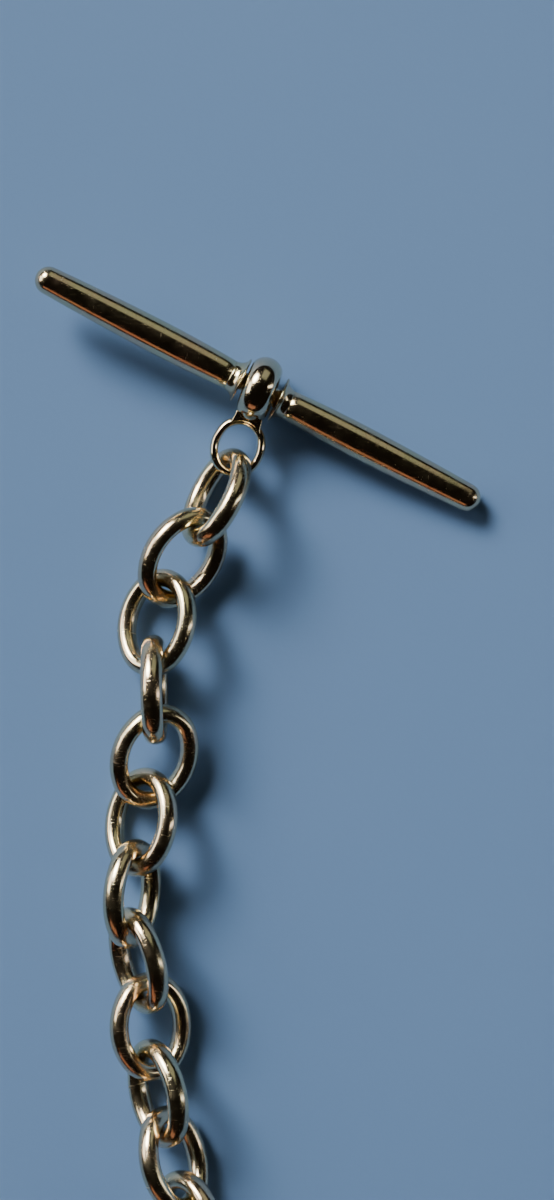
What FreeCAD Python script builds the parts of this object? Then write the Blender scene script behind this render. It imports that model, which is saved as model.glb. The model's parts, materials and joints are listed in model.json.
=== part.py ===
import FreeCAD, Part
import math
import os

# A gentleman's single pocket watch chain, laid out on a table top.
# A toggle bar that hooks through a waistcoat buttonhole carries a swivelling bail, the bail carries a run of
# oval belcher links, and the last link carries a swivel clasp for the watch's bow.
# Millimetres, +Z up, the table top at Z = 0 and the origin under the middle of the whole chain as it lies.
# Angles are in degrees: a heading is measured in the table's plane from +X, a lean turns a ring about its own
# long axis (0 lies flat, 90 stands on edge, plus lifts the side that is on the left looking along the
# heading), and a pitch lifts the end that points along the heading.

Vector = FreeCAD.Vector

# --- toggle bar -------------------------------------------------------------------------------------------
BAR_LENGTH = 34.5
BAR_HEADING = -27
BAR_TIP_RADIUS = 0.98
BAR_BELLY_RADIUS = 1.19
BAR_NECK_RADIUS = 1.04
BAR_BELLY_AT = 8.0
NECK_X = -1.2
NECK_Y = 14.55
SPINDLE_RADIUS = 0.65
SPINDLE_REACH = 4.2
COLLAR_GAP = 2.84
COLLAR_RADIUS = 1.62
COLLAR_LENGTH = 0.85
COLLAR_RIM = 0.12

# --- bail: a fat ring on the bar's spindle with a small oval loop soldered to it -------------------------
BAIL_RADIUS = 2.35
BAIL_BORE_RADIUS = 0.85
BAIL_WIDTH = 2.2
BAIL_SECTION_CENTRE = 1.45
BAIL_SKEW = 6
LOOP_LENGTH = 4.3
LOOP_WIDTH = 3.8
LOOP_WIRE = 0.6
LOOP_WIRE_DEPTH = 0.75
LOOP_ROUNDNESS = 0.96
LOOP_OVERLAP = 0.25
SHOULDER_HALF_WIDTH = 0.94
SHOULDER_DEPTH = 0.9

# --- chain links ------------------------------------------------------------------------------------------
LINK_COUNT = 40
LINK_LENGTH = 7.6
LINK_WIDTH = 6.2
LINK_WIRE = 1.28
LINK_WIRE_DEPTH = 1.5
LINK_ROUNDNESS = 0.86
LINK_GAP = 0.05
SLIDE_MOST = 40
SLIDE_STEPS = 30

# The first links as they lie: heading, lean, pitch and how far short of taut they are.
FIRST_LINKS = [
    (-110, 60, 20, 0.12),
    (-123, -37, -4, 0),
    (-99, 32, 8, 0.05),
    (-89, 92, 8, 0.3),
    (-108, -22, -8, 0.14),
    (-96, 40, 10, 0),
    (-93, -62, -2, 0),
    (-77, 58, -2, 0.24),
    (-85, -31, -2, 0),
    (-76, 54, 10, 0),
    (-74, -54, 4, 0.06),
    (-76, 42, 10, 0),
]
# The rest lie in one long shallow bend, each leaning the other way from the last.
REST_LEAN = 45
REST_HEADING = -90
REST_SWAY = 16
REST_SWAY_TURN = 270

# --- swivel clasp -----------------------------------------------------------------------------------------
EYE_LENGTH = 4.6
EYE_WIDTH = 4.2
EYE_WIRE = 0.95
EYE_ROUNDNESS = 0.86
SHANK_RADIUS = 0.5
SHANK_FIT = 0.05
SHANK_HEAD_RADIUS = 0.95
SHANK_HEAD_LENGTH = 0.5
BARREL_RADIUS = 1.6
BARREL_LENGTH = 3.0
BARREL_START = 0.45
HOOK_LENGTH = 12.6
HOOK_WIDTH = 8.8
HOOK_BAR = 1.7
HOOK_BAR_DEPTH = 2.2
HOOK_ROUNDNESS = 0.86
HOOK_SINK = 1.1
GATE_PIVOT_X = 5.0
GATE_TIP_X = 11.4
GATE_FIT = 0.06
GATE_TONGUE = 0.9
GATE_KNUCKLE_RADIUS = 0.8
GATE_PIN_RADIUS = 0.3
KNOB_RADIUS = 0.55
SPRING_THICKNESS = 0.15
SPRING_DEPTH = 0.6
SPRING_LENGTH = 4.1
SPRING_FOOT_X = 4.3
SPRING_FOOT_Y = -1.5
SPRING_ANGLE = -14.5


def unit(v):
    return v * (1.0 / v.Length)


def directions(heading, lean, pitch):
    """Long axis, sideways axis and face normal of a ring that lies at these angles."""
    h, l, p = (math.radians(a) for a in (heading, lean, pitch))
    along = Vector(math.cos(p) * math.cos(h), math.cos(p) * math.sin(h), math.sin(p))
    level = Vector(-math.sin(h), math.cos(h), 0)
    side = level * math.cos(l) + along.cross(level) * math.sin(l)
    return along, side, along.cross(side)


def place(shape, at, along, side, normal):
    """Puts a shape drawn with its long axis on X and its side on Y where the ring or bar lies."""
    m = FreeCAD.Matrix(along.x, side.x, normal.x, at.x,
                       along.y, side.y, normal.y, at.y,
                       along.z, side.z, normal.z, at.z,
                       0, 0, 0, 1)
    placed = shape.copy()
    placed.Placement = FreeCAD.Placement(m).multiply(shape.Placement)
    return placed


def turned(points_and_arcs):
    """A solid turned about X from an outline of straight runs and three-point arcs in the XY plane."""
    edges = []
    for piece in points_and_arcs:
        corners = [Vector(x, y, 0) for x, y in piece]
        if len(corners) == 2:
            edges.append(Part.makeLine(*corners))
        else:
            edges.append(Part.Arc(*corners).toShape())
    face = Part.Face(Part.Wire(edges))
    return face.revolve(Vector(0, 0, 0), Vector(1, 0, 0), 360)


class Oval:
    """A ring drawn flat in XY, long axis on X, whose centreline is four tangent arcs."""

    def __init__(self, length, width, wire, depth, roundness):
        self.wire = wire
        self.depth = depth
        self.reach = (length - wire) / 2
        self.half_width = (width - wire) / 2
        self.end_radius = self.half_width * roundness
        self.end_centre = self.reach - self.end_radius
        spare = self.half_width - self.end_radius
        rise = self.end_centre ** 2 + self.half_width ** 2 - self.end_radius ** 2
        self.side_radius = rise / (2 * spare)
        self.side_centre = self.side_radius - self.half_width
        self.end_half_angle = math.degrees(math.atan2(self.side_centre, self.end_centre))
        self.solid = self.made()

    def bend(self, centre_x, centre_y, radius, start, sweep):
        """One arc of the ring: an oval section turned about the arc's centre."""
        big, small = max(self.wire, self.depth) / 2, min(self.wire, self.depth) / 2
        ellipse = Part.Ellipse(Vector(0, 0, 0), big, small)
        face = Part.Face(Part.Wire([ellipse.toShape()]))
        face.rotate(Vector(0, 0, 0), Vector(1, 0, 0), 90)
        if self.depth > self.wire:
            face.rotate(Vector(0, 0, 0), Vector(0, 1, 0), 90)
        face.translate(Vector(radius, 0, 0))
        face.rotate(Vector(0, 0, 0), Vector(0, 0, 1), start)
        face.translate(Vector(centre_x, centre_y, 0))
        return face.revolve(Vector(centre_x, centre_y, 0), Vector(0, 0, 1), sweep)

    def made(self):
        half = self.end_half_angle
        side = 180 - 2 * half
        bends = [
            self.bend(self.end_centre, 0, self.end_radius, -half, 2 * half),
            self.bend(0, -self.side_centre, self.side_radius, half, side),
            self.bend(-self.end_centre, 0, self.end_radius, 180 - half, 2 * half),
            self.bend(0, self.side_centre, self.side_radius, 180 + half, side),
        ]
        return bends[0].fuse(bends[1:]).removeSplitter()

    def rest_height(self, along, side, normal):
        """Height of the ring's middle when its lowest point touches the table."""
        end_angle = math.radians(self.end_half_angle)
        fall = math.atan2(abs(side.z), abs(along.z)) if (along.z or side.z) else 0
        steep = math.hypot(along.z, side.z)
        if fall < end_angle:
            drop = self.end_centre * math.cos(fall) + self.end_radius
        else:
            drop = self.side_radius - self.side_centre * math.sin(fall)
        flat = self.depth / 2 * normal.z
        edge = self.wire / 2 * math.sqrt(1 - normal.z ** 2)
        return drop * steep + math.hypot(flat, edge)


class Ring:
    """A ring as it lies: its oval, middle and directions."""

    def __init__(self, oval, at, axes):
        self.oval = oval
        self.at = at
        self.along, self.side, self.normal = axes

    def end_wire(self, sign, turn):
        """The far (+1) or near (-1) end's wire, some way round the bend: its place, run and outward direction."""
        outward = self.along * (sign * math.cos(turn)) + self.side * math.sin(turn)
        run = self.side * math.cos(turn) - self.along * (sign * math.sin(turn))
        bend_middle = self.at + self.along * (sign * self.oval.end_centre)
        return bend_middle + outward * self.oval.end_radius, run, outward

    def skin(self, outward, direction):
        """From the wire's centre to the point of its oval section that faces a direction."""
        half_wire = self.oval.wire / 2
        half_depth = self.oval.depth / 2
        edge = half_wire * outward.dot(direction)
        flat = half_depth * self.normal.dot(direction)
        return (outward * (half_wire * edge) + self.normal * (half_depth * flat)) * (1 / math.hypot(edge, flat))

    def shape(self):
        return place(self.oval.solid, self.at, self.along, self.side, self.normal)


def bearing(parent, child, share, slack):
    """Where the child's middle comes when it hangs on the parent, slid round both bends by a share."""
    held, run, outward = parent.end_wire(1, share * parent.side.z)
    hooked, child_run, child_outward = child.end_wire(-1, -share * child.side.z)
    pull = unit(run.cross(child_run))
    if pull.dot(parent.along + child.along) < 0:
        pull = pull * -1
    touch = held + parent.skin(outward, pull * -1) - pull * (LINK_GAP + slack)
    return touch - child.skin(child_outward, pull) - (hooked - child.at), held, run


def hung_on(parent, oval, lie, slack, rest_height):
    """The next ring: a slack short of taut on its parent, slid round both bends until it touches the table."""
    child = Ring(oval, Vector(0, 0, 0), directions(*lie))
    high = math.radians(SLIDE_MOST) / max(abs(parent.side.z), abs(child.side.z))
    low = -high
    for _ in range(SLIDE_STEPS):
        share = (low + high) / 2
        if bearing(parent, child, share, slack)[0].z > rest_height:
            high = share
        else:
            low = share
    child.at, held, run = bearing(parent, child, high, slack)
    return child, held, run


# --- the bar's pieces, drawn along X from the middle of the spindle --------------------------------------
def arm():
    inner = COLLAR_GAP / 2 + COLLAR_LENGTH
    tip_centre = BAR_LENGTH / 2 - BAR_TIP_RADIUS
    belly_end = BAR_BELLY_AT + (tip_centre - BAR_BELLY_AT) / 2
    belly_mid = (BAR_BELLY_AT + inner) / 2
    corner = BAR_TIP_RADIUS * math.sqrt(0.5)
    outline = [
        [(inner, 0), (inner, BAR_NECK_RADIUS)],
        [(inner, BAR_NECK_RADIUS), (belly_mid, BAR_BELLY_RADIUS - 0.03), (BAR_BELLY_AT, BAR_BELLY_RADIUS)],
        [(BAR_BELLY_AT, BAR_BELLY_RADIUS), (belly_end, BAR_BELLY_RADIUS - 0.07), (tip_centre, BAR_TIP_RADIUS)],
        [(tip_centre, BAR_TIP_RADIUS), (tip_centre + corner, corner), (BAR_LENGTH / 2, 0)],
        [(BAR_LENGTH / 2, 0), (inner, 0)],
    ]
    socket = Part.makeCylinder(SPINDLE_RADIUS, SPINDLE_REACH - inner, Vector(inner, 0, 0), Vector(1, 0, 0))
    return turned(outline).cut(socket)


def collar():
    """A thin trumpet that flares from the arm's end to a sharp rim beside the bail."""
    inner = COLLAR_GAP / 2
    outer = inner + COLLAR_LENGTH
    mid_x = inner + COLLAR_RIM + (COLLAR_LENGTH - COLLAR_RIM) * 0.36
    mid_y = BAR_NECK_RADIUS + (COLLAR_RADIUS - BAR_NECK_RADIUS) * 0.3
    outline = [
        [(inner, SPINDLE_RADIUS), (inner, COLLAR_RADIUS)],
        [(inner, COLLAR_RADIUS), (inner + COLLAR_RIM, COLLAR_RADIUS)],
        [(inner + COLLAR_RIM, COLLAR_RADIUS), (mid_x, mid_y), (outer, BAR_NECK_RADIUS)],
        [(outer, BAR_NECK_RADIUS), (outer, SPINDLE_RADIUS)],
        [(outer, SPINDLE_RADIUS), (inner, SPINDLE_RADIUS)],
    ]
    return turned(outline)


def spindle():
    return Part.makeCylinder(SPINDLE_RADIUS, 2 * SPINDLE_REACH, Vector(-SPINDLE_REACH, 0, 0), Vector(1, 0, 0))


def mirrored(shape):
    return shape.mirror(Vector(0, 0, 0), Vector(1, 0, 0))


# --- the bail's pieces, drawn with the ring's axis on Y and the loop along +X ----------------------------
def bail_ring():
    ellipse = Part.Ellipse(Vector(0, 0, 0), BAIL_WIDTH / 2, BAIL_RADIUS - BAIL_SECTION_CENTRE)
    face = Part.Face(Part.Wire([ellipse.toShape()]))
    face.rotate(Vector(0, 0, 0), Vector(0, 0, 1), 90)
    face.translate(Vector(BAIL_SECTION_CENTRE, 0, 0))
    ring = face.revolve(Vector(0, 0, 0), Vector(0, 1, 0), 360)
    bore = Part.makeCylinder(BAIL_BORE_RADIUS, 2 * BAIL_WIDTH, Vector(0, -BAIL_WIDTH, 0), Vector(0, 1, 0))
    return ring.cut(bore)


def bail_loop(oval, middle, ring):
    """The loop and the solder shoulders that carry it on the ring, hollowed to sit against the ring."""
    loop = oval.solid.copy()
    loop.translate(Vector(middle, 0, 0))
    near = BAIL_RADIUS - 2 * LOOP_OVERLAP
    far = middle - oval.end_centre
    spread = oval.half_width * 0.86
    waist = (near + far) / 2
    corners = [(near, -SHOULDER_HALF_WIDTH), (waist, -SHOULDER_HALF_WIDTH * 1.14), (far, -spread)]
    edges = [
        Part.Arc(*[Vector(x, y, 0) for x, y in corners]).toShape(),
        Part.makeLine(Vector(far, -spread, 0), Vector(far, spread, 0)),
        Part.Arc(*[Vector(x, -y, 0) for x, y in reversed(corners)]).toShape(),
        Part.makeLine(Vector(near, SHOULDER_HALF_WIDTH, 0), Vector(near, -SHOULDER_HALF_WIDTH, 0)),
    ]
    web = Part.Face(Part.Wire(edges)).extrude(Vector(0, 0, SHOULDER_DEPTH))
    web.translate(Vector(0, 0, -SHOULDER_DEPTH / 2))
    hole_radius = oval.end_radius
    hole = Part.makeCylinder(hole_radius, 2, Vector(far, 0, -1), Vector(0, 0, 1))
    web = web.cut(hole)
    return loop.fuse(web).cut(ring).cut(
        Part.makeCylinder(BAIL_SECTION_CENTRE, 2 * BAIL_WIDTH, Vector(0, -BAIL_WIDTH, 0), Vector(0, 1, 0)))


# --- the clasp's pieces, drawn along X from the swivel's shoulder, the gate on the -Y side ---------------
def swivel_eye(oval):
    """A ring with a shank that turns in the clasp's barrel and is riveted over inside it."""
    eye = oval.solid.copy()
    eye.translate(Vector(-oval.reach, 0, 0))
    start = -EYE_WIRE / 4
    head_at = BARREL_START + BARREL_LENGTH + SHANK_FIT
    shank = Part.makeCylinder(SHANK_RADIUS, head_at - start, Vector(start, 0, 0), Vector(1, 0, 0))
    shoulder = Part.makeCone(0.95, 0.8, BARREL_START - SHANK_FIT - start, Vector(start, 0, 0), Vector(1, 0, 0))
    head = Part.makeCone(SHANK_HEAD_RADIUS, SHANK_HEAD_RADIUS * 0.6, SHANK_HEAD_LENGTH,
                         Vector(head_at, 0, 0), Vector(1, 0, 0))
    hole_radius = oval.end_radius - oval.wire / 2
    hole = Part.makeCylinder(hole_radius, 4, Vector(-oval.end_radius, 0, -2), Vector(0, 0, 1))
    return eye.fuse([shank, head, shoulder.cut(hole)]).removeSplitter()


def hook_oval():
    oval = Oval(HOOK_LENGTH, HOOK_WIDTH, HOOK_BAR, HOOK_BAR_DEPTH, HOOK_ROUNDNESS)
    ring = oval.solid.copy()
    middle = BARREL_START + BARREL_LENGTH - HOOK_SINK + HOOK_LENGTH / 2
    ring.translate(Vector(middle, 0, 0))
    return oval, ring, middle


def gate_pivot(oval, middle):
    """The pin's place: on the hook's centreline, on the gate's side."""
    across = math.sqrt(oval.side_radius ** 2 - (GATE_PIVOT_X - middle) ** 2) - oval.side_centre
    return Vector(GATE_PIVOT_X, -across, 0)


def gate_region(pivot, middle, spare):
    """The stretch of the hook that the gate takes, from its pin to the cut at its tip."""
    deep = HOOK_BAR_DEPTH + 2
    slope = 0.7
    near = pivot.x
    top = GATE_TIP_X
    corners = [
        Vector(near, -HOOK_WIDTH, -deep / 2),
        Vector(near, 0, -deep / 2),
        Vector(top + slope - spare, 0, -deep / 2),
        Vector(top - slope * 1.4 - spare, -HOOK_WIDTH, -deep / 2),
    ]
    block = Part.Face(Part.makePolygon(corners + corners[:1])).extrude(Vector(0, 0, deep))
    keep_side = Part.makeBox(HOOK_LENGTH * 2, HOOK_WIDTH, deep + 2, Vector(0, -HOOK_WIDTH - 0.5, -deep / 2 - 1))
    return block.common(keep_side)


def clasp_parts():
    oval, ring, middle = hook_oval()
    pivot = gate_pivot(oval, middle)
    up = Vector(0, 0, 1)
    knuckle_space = Part.makeCylinder(GATE_KNUCKLE_RADIUS + GATE_FIT * 2, GATE_TONGUE + 2 * GATE_FIT,
                                      pivot - up * (GATE_TONGUE / 2 + GATE_FIT), up)
    cheek_foot = pivot - up * (HOOK_BAR_DEPTH / 2 - 0.15)
    cheek = Part.makeCylinder(GATE_KNUCKLE_RADIUS, HOOK_BAR_DEPTH - 0.3, cheek_foot, up)
    cheek_space = Part.makeCylinder(GATE_KNUCKLE_RADIUS + GATE_FIT, HOOK_BAR_DEPTH + 2,
                                    pivot - up * (HOOK_BAR_DEPTH / 2 + 1), up)
    pin_hole = Part.makeCylinder(GATE_PIN_RADIUS, HOOK_BAR_DEPTH + 2, pivot - up * (HOOK_BAR_DEPTH / 2 + 1), up)

    barrel = turned([
        [(BARREL_START, SHANK_RADIUS + SHANK_FIT), (BARREL_START, BARREL_RADIUS * 0.72)],
        [(BARREL_START, BARREL_RADIUS * 0.72), (BARREL_START + 0.3, BARREL_RADIUS * 0.92),
         (BARREL_START + 0.8, BARREL_RADIUS)],
        [(BARREL_START + 0.8, BARREL_RADIUS), (BARREL_START + BARREL_LENGTH, BARREL_RADIUS)],
        [(BARREL_START + BARREL_LENGTH, BARREL_RADIUS), (BARREL_START + BARREL_LENGTH, SHANK_RADIUS + SHANK_FIT)],
        [(BARREL_START + BARREL_LENGTH, SHANK_RADIUS + SHANK_FIT), (BARREL_START, SHANK_RADIUS + SHANK_FIT)],
    ])
    bore = Part.makeCylinder(SHANK_RADIUS + SHANK_FIT, BARREL_LENGTH + 4, Vector(-1, 0, 0), Vector(1, 0, 0))
    head_room = Part.makeCylinder(SHANK_HEAD_RADIUS + 0.15, 3, Vector(BARREL_START + BARREL_LENGTH, 0, 0),
                                  Vector(1, 0, 0))
    body = ring.cut(gate_region(pivot, middle, 0)).cut(head_room).fuse([barrel, cheek])
    body = body.cut(bore).cut(knuckle_space).cut(pin_hole)
    body = max(body.Solids, key=lambda s: s.Volume)

    strip = ring.common(gate_region(pivot, middle, 2 * GATE_FIT)).cut(cheek_space)
    tongue = Part.makeCylinder(GATE_KNUCKLE_RADIUS, GATE_TONGUE, pivot - up * (GATE_TONGUE / 2), up)
    neck_width = GATE_KNUCKLE_RADIUS * 1.6
    neck = Part.makeBox(GATE_KNUCKLE_RADIUS * 1.6, neck_width, GATE_TONGUE,
                        pivot + Vector(0, -neck_width / 2, -GATE_TONGUE / 2))
    running_foot = pivot - up * (HOOK_BAR_DEPTH / 2 + 1)
    running = Part.makeCylinder(GATE_PIN_RADIUS + SHANK_FIT, HOOK_BAR_DEPTH + 2, running_foot, up)
    knob_at = Vector(GATE_TIP_X - 2.1, -HOOK_WIDTH / 2 - KNOB_RADIUS * 0.45, 0)
    gate = strip.fuse([tongue, neck, Part.makeSphere(KNOB_RADIUS, knob_at)]).cut(running).removeSplitter()
    gate = max(gate.Solids, key=lambda s: s.Volume)

    pin = Part.makeCylinder(GATE_PIN_RADIUS, HOOK_BAR_DEPTH - 0.3, pivot - up * (HOOK_BAR_DEPTH / 2 - 0.15), up)

    leaf = Part.makeBox(SPRING_LENGTH, SPRING_THICKNESS, SPRING_DEPTH, Vector(0, 0, -SPRING_DEPTH / 2))
    leaf.rotate(Vector(0, 0, 0), up, SPRING_ANGLE)
    leaf.translate(Vector(SPRING_FOOT_X, SPRING_FOOT_Y, 0))
    body = body.cut(leaf)
    return {"clasp_body": body, "clasp_gate": gate, "gate_pin": pin, "gate_spring": leaf}, pivot


def lie_of(number):
    """Heading, lean, pitch and slack of a link, counted from the toggle."""
    if number <= len(FIRST_LINKS):
        return FIRST_LINKS[number - 1]
    step = number - len(FIRST_LINKS)
    turn = math.radians(REST_SWAY_TURN * step / (LINK_COUNT - len(FIRST_LINKS)))
    lean = REST_LEAN if (number % 2 == 0) else -REST_LEAN
    return REST_HEADING + REST_SWAY * math.cos(turn), lean, 0, 0


def build():
    parts = {}
    hinges = []

    # Toggle bar: the neck is held up by the bail, and one tip rests on the table.
    dip = math.degrees(math.asin((BAIL_RADIUS - BAR_TIP_RADIUS) / (BAR_LENGTH / 2 - BAR_TIP_RADIUS)))
    neck = Vector(NECK_X, NECK_Y, BAIL_RADIUS)
    bar_axes = directions(BAR_HEADING, 0, -dip)
    for name, shape in (("spindle", spindle()), ("right_arm", arm()), ("left_arm", mirrored(arm())),
                        ("right_collar", collar()), ("left_collar", mirrored(collar()))):
        parts[name] = place(shape, neck, *bar_axes)
    hinges.append(("bail_spin", neck, bar_axes[0]))

    # Bail.
    loop_oval = Oval(LOOP_LENGTH, LOOP_WIDTH, LOOP_WIRE, LOOP_WIRE_DEPTH, LOOP_ROUNDNESS)
    loop_middle = BAIL_RADIUS - LOOP_OVERLAP + LOOP_LENGTH / 2
    bail_axes = directions(BAR_HEADING - 90 + BAIL_SKEW, 0, 0)
    ring = bail_ring()
    parts["bail_ring"] = place(ring, neck, *bail_axes)
    parts["bail_loop"] = place(bail_loop(loop_oval, loop_middle, ring), neck, *bail_axes)
    last = Ring(loop_oval, neck + bail_axes[0] * loop_middle, bail_axes)

    # Links.
    link_oval = Oval(LINK_LENGTH, LINK_WIDTH, LINK_WIRE, LINK_WIRE_DEPTH, LINK_ROUNDNESS)
    for number in range(1, LINK_COUNT + 1):
        heading, lean, pitch, slack = lie_of(number)
        lie = (heading, lean, pitch)
        last, at, axis = hung_on(last, link_oval, lie, slack, link_oval.rest_height(*directions(*lie)))
        parts["link_%02d" % number] = last.shape()
        hinges.append(("link_%02d_swing" % number, at, axis))

    # Swivel clasp: it rests on the barrel's far rim and on the hook's far end.
    eye_oval = Oval(EYE_LENGTH, EYE_WIDTH, EYE_WIRE, EYE_WIRE, EYE_ROUNDNESS)
    barrel_end = BARREL_START + BARREL_LENGTH
    hook_end = barrel_end - HOOK_SINK + HOOK_LENGTH - HOOK_BAR / 2
    dip = math.asin((BARREL_RADIUS - HOOK_BAR_DEPTH / 2) / (hook_end - barrel_end))
    shoulder_height = BARREL_RADIUS * math.cos(dip) + barrel_end * math.sin(dip)
    eye_lie = (REST_HEADING, -lie_of(LINK_COUNT)[1], -math.degrees(dip))
    last, at, axis = hung_on(last, eye_oval, eye_lie, 0, shoulder_height + eye_oval.reach * math.sin(dip))
    hinges.append(("eye_swing", at, axis))
    shoulder = last.at + last.along * eye_oval.reach
    parts["swivel_eye"] = place(swivel_eye(eye_oval), shoulder, last.along, last.side, last.normal)
    clasp_axes = directions(REST_HEADING, 0, -math.degrees(dip))
    hinges.append(("clasp_swivel", shoulder, clasp_axes[0]))
    shapes, pivot = clasp_parts()
    for name, shape in shapes.items():
        parts[name] = place(shape, shoulder, *clasp_axes)
    along, side, normal = clasp_axes
    hinges.append(("gate_swing", shoulder + along * pivot.x + side * pivot.y, normal))
    return parts, hinges


def main():
    parts, hinges = build()
    box = FreeCAD.BoundBox()
    for shape in parts.values():
        box.add(shape.optimalBoundingBox(False))
    origin = Vector((box.XMin + box.XMax) / 2, (box.YMin + box.YMax) / 2, box.ZMin)
    os.makedirs("parts", exist_ok=True)
    for name, shape in parts.items():
        solids = shape.Solids
        if len(solids) != 1 or not shape.isValid():
            print("CHECK", name, len(solids), "solids, valid", shape.isValid())
        solid = solids[0].copy()
        solid.translate(origin * -1)
        solid.exportStep("parts/%s.step" % name)
    for name, at, axis in hinges:
        at = at - origin
        print("JOINT %s %.4f %.4f %.4f  %.6f %.6f %.6f" % (name, at.x, at.y, at.z, axis.x, axis.y, axis.z))
    print("BOX %.2f x %.2f x %.2f" % (box.XLength, box.YLength, box.ZLength))
    print("ORIGIN %.4f %.4f %.4f" % (origin.x, origin.y, origin.z))


main()
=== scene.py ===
import json
import math

import bmesh
import bpy
import numpy as np
from mathutils import Matrix, Vector


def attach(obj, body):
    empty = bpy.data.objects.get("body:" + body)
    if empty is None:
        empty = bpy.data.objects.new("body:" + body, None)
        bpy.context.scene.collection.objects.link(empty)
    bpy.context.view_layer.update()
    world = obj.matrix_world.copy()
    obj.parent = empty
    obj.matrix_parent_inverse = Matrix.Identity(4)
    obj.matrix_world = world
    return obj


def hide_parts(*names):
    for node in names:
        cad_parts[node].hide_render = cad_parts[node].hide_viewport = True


MM = 0.001

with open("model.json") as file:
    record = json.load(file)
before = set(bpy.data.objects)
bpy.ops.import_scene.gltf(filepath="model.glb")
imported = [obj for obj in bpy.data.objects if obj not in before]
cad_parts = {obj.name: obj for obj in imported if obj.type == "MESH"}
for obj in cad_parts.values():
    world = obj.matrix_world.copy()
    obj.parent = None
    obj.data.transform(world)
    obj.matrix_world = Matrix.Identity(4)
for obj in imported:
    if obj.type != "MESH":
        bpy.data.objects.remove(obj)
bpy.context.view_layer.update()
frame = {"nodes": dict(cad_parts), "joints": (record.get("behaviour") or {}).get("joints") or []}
joints = {j["name"]: j for j in frame["joints"]}


# --- placing -----------------------------------------------------------------------------------------------
def axes_matrix(at, x, y):
    """A frame with its origin at a point, its X along x and its Y along y."""
    x = Vector(x).normalized()
    z = x.cross(Vector(y)).normalized()
    y = z.cross(x)
    return Matrix.Translation(at) @ Matrix((x, y, z)).transposed().to_4x4()


def lie_of_ring(node):
    """The middle, long axis and short axis of an oval ring, from how its CAD node spreads."""
    mesh = frame["nodes"][node].data
    points = np.unique(np.round([v.co[:] for v in mesh.vertices], 7), axis=0)
    middle = (points.max(0) + points.min(0)) / 2
    spread, directions = np.linalg.eigh(np.cov((points - points.mean(0)).T))
    long_axis, short_axis = Vector(directions[:, 2]), Vector(directions[:, 1])
    return axes_matrix(Vector(middle), long_axis, short_axis)


def finish_piece(mesh_data, name, body, nodes, material):
    """Puts a bmesh in the scene as a smooth piece that rides on a body and stands for its CAD nodes."""
    bmesh.ops.recalc_face_normals(mesh_data, faces=mesh_data.faces)
    mesh = bpy.data.meshes.new(name)
    mesh_data.to_mesh(mesh)
    mesh_data.free()
    mesh.shade_smooth()
    piece = bpy.data.objects.new(name, mesh)
    bpy.context.scene.collection.objects.link(piece)
    mesh.materials.append(material)
    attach(piece, body)
    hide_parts(*nodes)
    return piece


# --- shapes ------------------------------------------------------------------------------------------------
def oval_ring(length, width, wire, depth, roundness, round_steps, section_steps):
    """A ring of oval wire, flat in XY with its long axis on X: four tangent bends, each a spun section."""
    reach = (length - wire) / 2
    half_width = (width - wire) / 2
    end_radius = half_width * roundness
    end_centre = reach - end_radius
    spare = half_width - end_radius
    side_radius = (end_centre ** 2 + half_width ** 2 - end_radius ** 2) / (2 * spare)
    side_centre = side_radius - half_width
    half = math.atan2(side_centre, end_centre)
    bends = [
        ((end_centre, 0), end_radius, -half, 2 * half, 0.62),
        ((0, -side_centre), side_radius, half, math.pi - 2 * half, 0.38),
        ((-end_centre, 0), end_radius, math.pi - half, 2 * half, 0.62),
        ((0, side_centre), side_radius, math.pi + half, math.pi - 2 * half, 0.38),
    ]
    ring = bmesh.new()
    for (x, y), radius, start, sweep, share in bends:
        section = bmesh.ops.create_circle(ring, segments=section_steps, radius=1)["verts"]
        edges = list({e for v in section for e in v.link_edges})
        bmesh.ops.scale(ring, vec=(wire / 2, depth / 2, 1), verts=section)
        bmesh.ops.rotate(ring, matrix=Matrix.Rotation(math.pi / 2, 3, "X"), verts=section)
        bmesh.ops.translate(ring, vec=(radius, 0, 0), verts=section)
        bmesh.ops.rotate(ring, matrix=Matrix.Rotation(start, 3, "Z"), verts=section)
        bmesh.ops.translate(ring, vec=(x, y, 0), verts=section)
        bmesh.ops.spin(ring, geom=section + edges, cent=(x, y, 0), axis=(0, 0, 1), angle=sweep,
                       steps=max(6, round(round_steps * share)), use_merge=False)
    bmesh.ops.remove_doubles(ring, verts=ring.verts, dist=wire * 0.004)
    return ring


def turned(outline, steps):
    """A solid turned about X from an outline of (x, radius) points; points on the axis close it."""
    solid = bmesh.new()
    points = [solid.verts.new((x, r, 0)) for x, r in outline]
    edges = [solid.edges.new(pair) for pair in zip(points, points[1:])]
    bmesh.ops.spin(solid, geom=points + edges, cent=(0, 0, 0), axis=(1, 0, 0), angle=2 * math.pi,
                   steps=steps, use_merge=True)
    bmesh.ops.remove_doubles(solid, verts=solid.verts, dist=1e-7)
    return solid


def arc(centre, radius, start, stop, steps):
    """Points on a bend of an outline, angles in degrees."""
    turns = [math.radians(start + (stop - start) * i / steps) for i in range(steps + 1)]
    return [(centre[0] + radius * math.cos(t), centre[1] + radius * math.sin(t)) for t in turns]


def bowed(start, middle, stop, steps):
    """Points on a smooth bow of an outline through three points."""
    points = []
    for i in range(steps + 1):
        t = i / steps
        a, b, c = 2 * (t - 0.5) * (t - 1), -4 * t * (t - 1), 2 * t * (t - 0.5)
        points.append(tuple(a * p + b * q + c * r for p, q, r in zip(start, middle, stop)))
    return points


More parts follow.
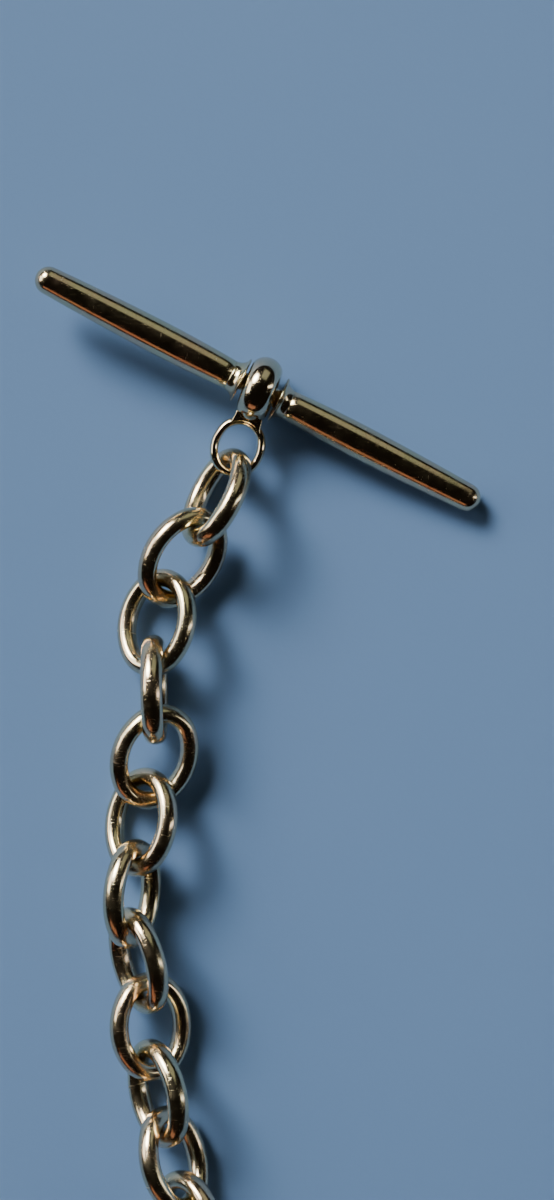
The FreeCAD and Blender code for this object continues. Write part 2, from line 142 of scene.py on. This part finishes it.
def softened(node, voxel, rounds):
    """A copy of a CAD node, closed up and remeshed finely, so that its edges and joins are rounded over."""
    copy = bmesh.new()
    copy.from_mesh(frame["nodes"][node].data)
    bmesh.ops.remove_doubles(copy, verts=copy.verts, dist=1e-6)
    mesh = bpy.data.meshes.new(node + "_copy")
    copy.to_mesh(mesh)
    copy.free()
    block = bpy.data.objects.new(node + "_copy", mesh)
    bpy.context.scene.collection.objects.link(block)
    remesh = block.modifiers.new("even_skin", "REMESH")
    remesh.mode = "VOXEL"
    remesh.voxel_size = voxel
    smooth = block.modifiers.new("rounded_over", "SMOOTH")
    smooth.factor = 0.5
    smooth.iterations = rounds
    evaluated = block.evaluated_get(bpy.context.evaluated_depsgraph_get())
    result = bmesh.new()
    result.from_mesh(evaluated.to_mesh())
    bpy.data.objects.remove(block)
    return result


# --- finishes ----------------------------------------------------------------------------------------------
def new_material(name):
    material = bpy.data.materials.new(name)
    material.use_nodes = True
    nodes = material.node_tree.nodes
    nodes.clear()
    output = nodes.new("ShaderNodeOutputMaterial")
    shader = nodes.new("ShaderNodeBsdfPrincipled")
    material.node_tree.links.new(shader.outputs["BSDF"], output.inputs["Surface"])
    return material, shader


def add(material, kind, **settings):
    """Adds a node; settings are its properties, or its sockets where no property has that name."""
    node = material.node_tree.nodes.new(kind)
    for key, value in settings.items():
        if hasattr(node, key):
            setattr(node, key, value)
        else:
            node.inputs[key.replace("_", " ")].default_value = value
    return node


def join(material, source, target):
    material.node_tree.links.new(source, target)


def grain_source(material, scale, turn=(0, 0, 0)):
    """Object coordinates in units of the finish's own grain."""
    place = add(material, "ShaderNodeTexCoord")
    mapping = add(material, "ShaderNodeMapping")
    mapping.inputs["Rotation"].default_value = turn
    mapping.inputs["Scale"].default_value = scale
    join(material, place.outputs["Object"], mapping.inputs["Vector"])
    return mapping.outputs["Vector"]


def spread(material, value, low, high, to_low, to_high):
    """Stretches a stretch of a pattern's value over a wanted range."""
    node = add(material, "ShaderNodeMapRange")
    for socket, number in (("From Min", low), ("From Max", high), ("To Min", to_low), ("To Max", to_high)):
        node.inputs[socket].default_value = number
    join(material, value, node.inputs["Value"])
    return node.outputs["Result"]


def gold(name, yellow, rosy, roughness, scratch_turn, scratch_strength, seamed=False):
    """Polished, long-worn gold: warm colour clouds, softened patches, hairline scratches and small dints.
    Seamed gold also has a thin, uneven solder seam where the mesh's "from_seam" attribute, in mm, is 0."""
    material, shader = new_material(name)
    shader.inputs["Metallic"].default_value = 1
    clouds = add(material, "ShaderNodeTexNoise", Scale=1, Detail=4, Roughness=0.6)
    join(material, grain_source(material, (420, 420, 420)), clouds.inputs["Vector"])
    tint = add(material, "ShaderNodeMix", data_type="RGBA")
    tint.inputs["A"].default_value = (*yellow, 1)
    tint.inputs["B"].default_value = (*rosy, 1)
    join(material, spread(material, clouds.outputs["Fac"], 0.38, 0.64, 0, 1), tint.inputs["Factor"])
    tint_out = next(s for s in tint.outputs if s.type == "RGBA")

    # Hairlines: long thin streaks, mostly along the way the piece was polished.
    hairs = add(material, "ShaderNodeTexNoise", Scale=1, Detail=3, Roughness=0.7)
    join(material, grain_source(material, (600, 14000, 14000), scratch_turn), hairs.inputs["Vector"])
    lines = spread(material, hairs.outputs["Fac"], 0.60, 0.72, 0, 1)
    cross = add(material, "ShaderNodeTexNoise", Scale=1, Detail=2, Roughness=0.6)
    join(material, grain_source(material, (9000, 700, 9000), (0.4, 0.2, 0.9)), cross.inputs["Vector"])
    cross_lines = spread(material, cross.outputs["Fac"], 0.66, 0.74, 0, 1)
    marks = add(material, "ShaderNodeMath", operation="MAXIMUM")
    join(material, lines, marks.inputs[0])
    join(material, cross_lines, marks.inputs[1])

    if seamed:
        distance = add(material, "ShaderNodeAttribute", attribute_name="from_seam")
        wander = add(material, "ShaderNodeTexNoise", Scale=1, Detail=3, Roughness=0.6)
        join(material, grain_source(material, (2600, 2600, 2600)), wander.inputs["Vector"])
        off_line = add(material, "ShaderNodeMath", operation="MULTIPLY_ADD")
        off_line.inputs[1].default_value = 0.16
        join(material, wander.outputs["Fac"], off_line.inputs[0])
        join(material, distance.outputs["Fac"], off_line.inputs[2])
        seam = spread(material, off_line.outputs[0], 0.105, 0.135, 1, 0)
        seam_or_mark = add(material, "ShaderNodeMath", operation="MAXIMUM")
        join(material, marks.outputs[0], seam_or_mark.inputs[0])
        join(material, seam, seam_or_mark.inputs[1])
        marks = seam_or_mark

    # Wear: broad patches where the polish has gone soft.
    wear = add(material, "ShaderNodeTexNoise", Scale=1, Detail=5, Roughness=0.65)
    join(material, grain_source(material, (900, 900, 900)), wear.inputs["Vector"])
    soft = spread(material, wear.outputs["Fac"], 0.35, 0.7, roughness, roughness * 2.1)
    dull = add(material, "ShaderNodeMath", operation="MULTIPLY_ADD")
    dull.inputs[1].default_value = 0.10
    join(material, marks.outputs[0], dull.inputs[0])
    join(material, soft, dull.inputs[2])
    join(material, dull.outputs[0], shader.inputs["Roughness"])

    # Dints and hand-worked waviness under the scratches.
    waves = add(material, "ShaderNodeTexNoise", Scale=1, Detail=2, Roughness=0.5)
    join(material, grain_source(material, (1300, 1300, 1300)), waves.inputs["Vector"])
    hollow = add(material, "ShaderNodeBump", Strength=0.10, Distance=0.00006)
    join(material, waves.outputs["Fac"], hollow.inputs["Height"])
    scratch = add(material, "ShaderNodeBump", invert=True, Strength=scratch_strength, Distance=0.000012)
    join(material, marks.outputs[0], scratch.inputs["Height"])
    join(material, hollow.outputs["Normal"], scratch.inputs["Normal"])
    join(material, scratch.outputs["Normal"], shader.inputs["Normal"])
    join(material, tint_out, shader.inputs["Base Color"])
    return material


def blued_steel():
    material, shader = new_material("spring_steel_blued")
    shader.inputs["Metallic"].default_value = 1
    shader.inputs["Base Color"].default_value = (0.30, 0.31, 0.36, 1)
    grain = add(material, "ShaderNodeTexNoise", Scale=1, Detail=3)
    join(material, grain_source(material, (2000, 12000, 2000)), grain.inputs["Vector"])
    join(material, spread(material, grain.outputs["Fac"], 0.3, 0.7, 0.22, 0.42), shader.inputs["Roughness"])
    return material


def paper():
    """Plain pale blue-grey paper with a faint tooth and very broad, faint unevenness."""
    material, shader = new_material("pale_paper")
    broad = add(material, "ShaderNodeTexNoise", Scale=1, Detail=3, Roughness=0.5)
    join(material, grain_source(material, (14, 9, 9)), broad.inputs["Vector"])
    tone = add(material, "ShaderNodeMix", data_type="RGBA")
    tone.inputs["A"].default_value = (0.120, 0.232, 0.450, 1)
    tone.inputs["B"].default_value = (0.140, 0.252, 0.470, 1)
    join(material, spread(material, broad.outputs["Fac"], 0.3, 0.7, 0, 1), tone.inputs["Factor"])
    join(material, next(s for s in tone.outputs if s.type == "RGBA"), shader.inputs["Base Color"])
    shader.inputs["Roughness"].default_value = 0.75
    tooth = add(material, "ShaderNodeTexNoise", Scale=1, Detail=5, Roughness=0.7)
    join(material, grain_source(material, (1500, 1500, 1500)), tooth.inputs["Vector"])
    bump = add(material, "ShaderNodeBump", Strength=0.25, Distance=0.00004)
    join(material, tooth.outputs["Fac"], bump.inputs["Height"])
    join(material, bump.outputs["Normal"], shader.inputs["Normal"])
    return material


bar_turn = math.atan2(joints["bail_spin"]["axis"][1], joints["bail_spin"]["axis"][0])
bar_gold = gold("bar_gold_worn", (0.75, 0.65, 0.39), (0.79, 0.58, 0.38), 0.11, (0, 0, -bar_turn), 0.3)
bail_gold = gold("bail_gold_bright", (0.78, 0.68, 0.44), (0.80, 0.62, 0.42), 0.09, (0, 0, 1.1), 0.2)
link_gold = gold("link_gold_worn", (0.75, 0.65, 0.41), (0.78, 0.59, 0.39), 0.13, (0, 0, math.pi / 2), 0.3,
                 seamed=True)
clasp_gold = gold("clasp_gold", (0.76, 0.66, 0.41), (0.79, 0.60, 0.40), 0.13, (0, 0, math.pi / 2), 0.3)
steel = blued_steel()

# --- toggle bar --------------------------------------------------------------------------------------------
neck = Vector(joints["bail_spin"]["pos_m"])
bar_axis = Vector(joints["bail_spin"]["axis"])
bar_place = axes_matrix(neck, bar_axis, Vector((0, 0, 1)).cross(bar_axis))
bar_back = bar_place @ Matrix.Rotation(math.pi, 4, "Z")

ARM_INNER = 2.27 * MM
ARM_TIP = 17.25 * MM
TIP_RADIUS = 0.98 * MM
BELLY_RADIUS = 1.19 * MM
NECK_RADIUS = 1.04 * MM
BELLY_AT = 8.0 * MM
tip_centre = ARM_TIP - TIP_RADIUS
arm_outline = [(ARM_INNER, 0), (ARM_INNER, NECK_RADIUS * 0.96)]
arm_outline += bowed((ARM_INNER + 0.03 * MM, NECK_RADIUS),
                     ((BELLY_AT + ARM_INNER) / 2, BELLY_RADIUS - 0.03 * MM),
                     (BELLY_AT, BELLY_RADIUS), 10)
arm_outline += bowed((BELLY_AT, BELLY_RADIUS),
                     ((BELLY_AT + tip_centre) / 2, BELLY_RADIUS - 0.07 * MM),
                     (tip_centre, TIP_RADIUS), 10)[1:]
arm_outline += arc((tip_centre, 0), TIP_RADIUS, 90, 0, 14)[1:]
COLLAR_INNER = 1.42 * MM
COLLAR_RADIUS = 1.62 * MM
COLLAR_RIM = 0.12 * MM
SPINDLE_RADIUS = 0.65 * MM
SPINDLE_REACH = 4.2 * MM
collar_outline = [(COLLAR_INNER, SPINDLE_RADIUS), (COLLAR_INNER, COLLAR_RADIUS - 0.03 * MM)]
collar_outline += arc((COLLAR_INNER + COLLAR_RIM / 2, COLLAR_RADIUS - COLLAR_RIM / 2),
                      COLLAR_RIM / 2, 180, 0, 8)
collar_outline += bowed((COLLAR_INNER + COLLAR_RIM, COLLAR_RADIUS - COLLAR_RIM / 2),
                        (COLLAR_INNER + 0.38 * MM, 1.20 * MM), (ARM_INNER, NECK_RADIUS), 12)[1:]
collar_outline += [(ARM_INNER, SPINDLE_RADIUS), (COLLAR_INNER, SPINDLE_RADIUS)]
for side, place in (("right", bar_place), ("left", bar_back)):
    for part, outline in (("arm", arm_outline), ("collar", collar_outline)):
        solid = turned(outline, 72)
        solid.transform(place)
        node = side + "_" + part
        finish_piece(solid, node + "_turned", "toggle_bar", [node], bar_gold)
spindle = turned([(-SPINDLE_REACH, 0), (-SPINDLE_REACH, SPINDLE_RADIUS),
                  (SPINDLE_REACH, SPINDLE_RADIUS), (SPINDLE_REACH, 0)], 48)
spindle.transform(bar_place)
finish_piece(spindle, "spindle_rod", "toggle_bar", ["spindle"], bar_gold)

# --- bail --------------------------------------------------------------------------------------------------
loop_end = Vector(joints["link_01_swing"]["pos_m"])
bail_place = axes_matrix(neck, loop_end - neck, joints["link_01_swing"]["axis"])
RING_SECTION_AT = 1.45 * MM
RING_HALF_THICK = 0.9 * MM
RING_HALF_WIDTH = 1.1 * MM
RING_BORE_RADIUS = 0.85 * MM
bail_ring = bmesh.new()
section = bmesh.ops.create_circle(bail_ring, segments=48, radius=1)["verts"]
bmesh.ops.scale(bail_ring, vec=(RING_HALF_THICK, RING_HALF_WIDTH, 1), verts=section)
bmesh.ops.translate(bail_ring, vec=(RING_SECTION_AT, 0, 0), verts=section)
for v in section:
    v.co.x = max(v.co.x, RING_BORE_RADIUS)
edges = list({e for v in section for e in v.link_edges})
bmesh.ops.spin(bail_ring, geom=section + edges, cent=(0, 0, 0), axis=(0, 1, 0), angle=2 * math.pi,
               steps=96, use_merge=True)
bmesh.ops.remove_doubles(bail_ring, verts=bail_ring.verts, dist=1e-7)
bail_ring.transform(bail_place)
finish_piece(bail_ring, "bail_ring_fat", "bail", ["bail_ring"], bail_gold)
bail_loop = softened("bail_loop", 0.045 * MM, 6)
finish_piece(bail_loop, "bail_loop_soldered", "bail", ["bail_loop"], bail_gold)

# --- links -------------------------------------------------------------------------------------------------
LINK_LENGTH = 7.6 * MM
LINK_WIDTH = 6.2 * MM
LINK_WIRE = 1.28 * MM
LINK_WIRE_DEPTH = 1.5 * MM
LINK_ROUNDNESS = 0.86
SEAM_AT = 0.9
NO_SEAM_NEAR = 3
link_pattern = oval_ring(LINK_LENGTH, LINK_WIDTH, LINK_WIRE, LINK_WIRE_DEPTH, LINK_ROUNDNESS, 96, 32)
from_seam = link_pattern.verts.layers.float.new("from_seam")
for v in link_pattern.verts:
    v[from_seam] = abs(v.co.x / MM - SEAM_AT) if v.co.y > 0 else NO_SEAM_NEAR
for node in sorted(n for n in frame["nodes"] if n.startswith("link_")):
    link = link_pattern.copy()
    link.transform(lie_of_ring(node))
    finish_piece(link, node + "_wire", node, [node], link_gold)
link_pattern.free()

# --- swivel clasp ------------------------------------------------------------------------------------------
for node, body, voxel in (("swivel_eye", "swivel_eye", 0.05), ("clasp_body", "clasp", 0.07),
                          ("clasp_gate", "gate", 0.06)):
    finish_piece(softened(node, voxel * MM, 4), node + "_cast", body, [node], clasp_gold)
for node, finish in (("gate_pin", clasp_gold), ("gate_spring", steel)):
    frame["nodes"][node].data.materials.clear()
    frame["nodes"][node].data.materials.append(finish)

# --- table, light and camera -------------------------------------------------------------------------------
table = bmesh.new()
bmesh.ops.create_grid(table, x_segments=4, y_segments=4, size=1.5)
table_mesh = bpy.data.meshes.new("paper_table")
table.to_mesh(table_mesh)
table.free()
table_piece = bpy.data.objects.new("paper_table", table_mesh)
bpy.context.scene.collection.objects.link(table_piece)
table_mesh.materials.append(paper())

VIEW_RIGHT_OF_NECK = 1.2 * MM
VIEW_BELOW_NECK = 14.55 * MM
CAMERA_HEIGHT = 161.7 * MM
view_centre = Vector((neck.x + VIEW_RIGHT_OF_NECK, neck.y - VIEW_BELOW_NECK, 0))


def soft_box(name, offset, size, power, colour, spread_degrees=180):
    """A soft lamp that faces the middle of the view; offset and size in metres."""
    light = bpy.data.lights.new(name, "AREA")
    light.shape = "RECTANGLE"
    light.size, light.size_y = size
    light.energy = power
    light.color = colour
    light.spread = math.radians(spread_degrees)
    lamp = bpy.data.objects.new(name, light)
    lamp.location = view_centre + Vector(offset)
    direction = view_centre - lamp.location
    lamp.rotation_euler = direction.to_track_quat("-Z", "Y").to_euler()
    bpy.context.scene.collection.objects.link(lamp)


soft_box("window_core", (-0.29, 0.38, 0.36), (0.36, 0.32), 0.53, (1.0, 0.99, 0.95), 34)
soft_box("window_wide", (-0.56, 0.16, 0.27), (0.34, 0.26), 1.1, (1.0, 0.98, 0.93))
soft_box("far_wall", (0.26, 0.52, 0.42), (0.40, 0.44), 0.20, (0.93, 1.0, 0.80))
soft_box("bounce_right", (0.60, -0.02, 0.24), (0.08, 0.40), 0.32, (1.0, 0.98, 0.94))
soft_box("warm_near", (-0.26, -0.54, 0.20), (0.40, 0.16), 0.09, (1.0, 0.46, 0.30))

world = bpy.data.worlds.new("dim_room")
world.use_nodes = True
world.node_tree.nodes["Background"].inputs["Color"].default_value = (0.006, 0.005, 0.004, 1)
world.node_tree.nodes["Background"].inputs["Strength"].default_value = 1
bpy.context.scene.world = world

camera_data = bpy.data.cameras.new("overhead")
camera_data.sensor_fit = "VERTICAL"
camera_data.sensor_height = 36
camera_data.lens = 69
camera_data.clip_start = 0.01
camera = bpy.data.objects.new("overhead", camera_data)
camera.location = view_centre + Vector((0, 0, CAMERA_HEIGHT))
bpy.context.scene.collection.objects.link(camera)
bpy.context.scene.camera = camera
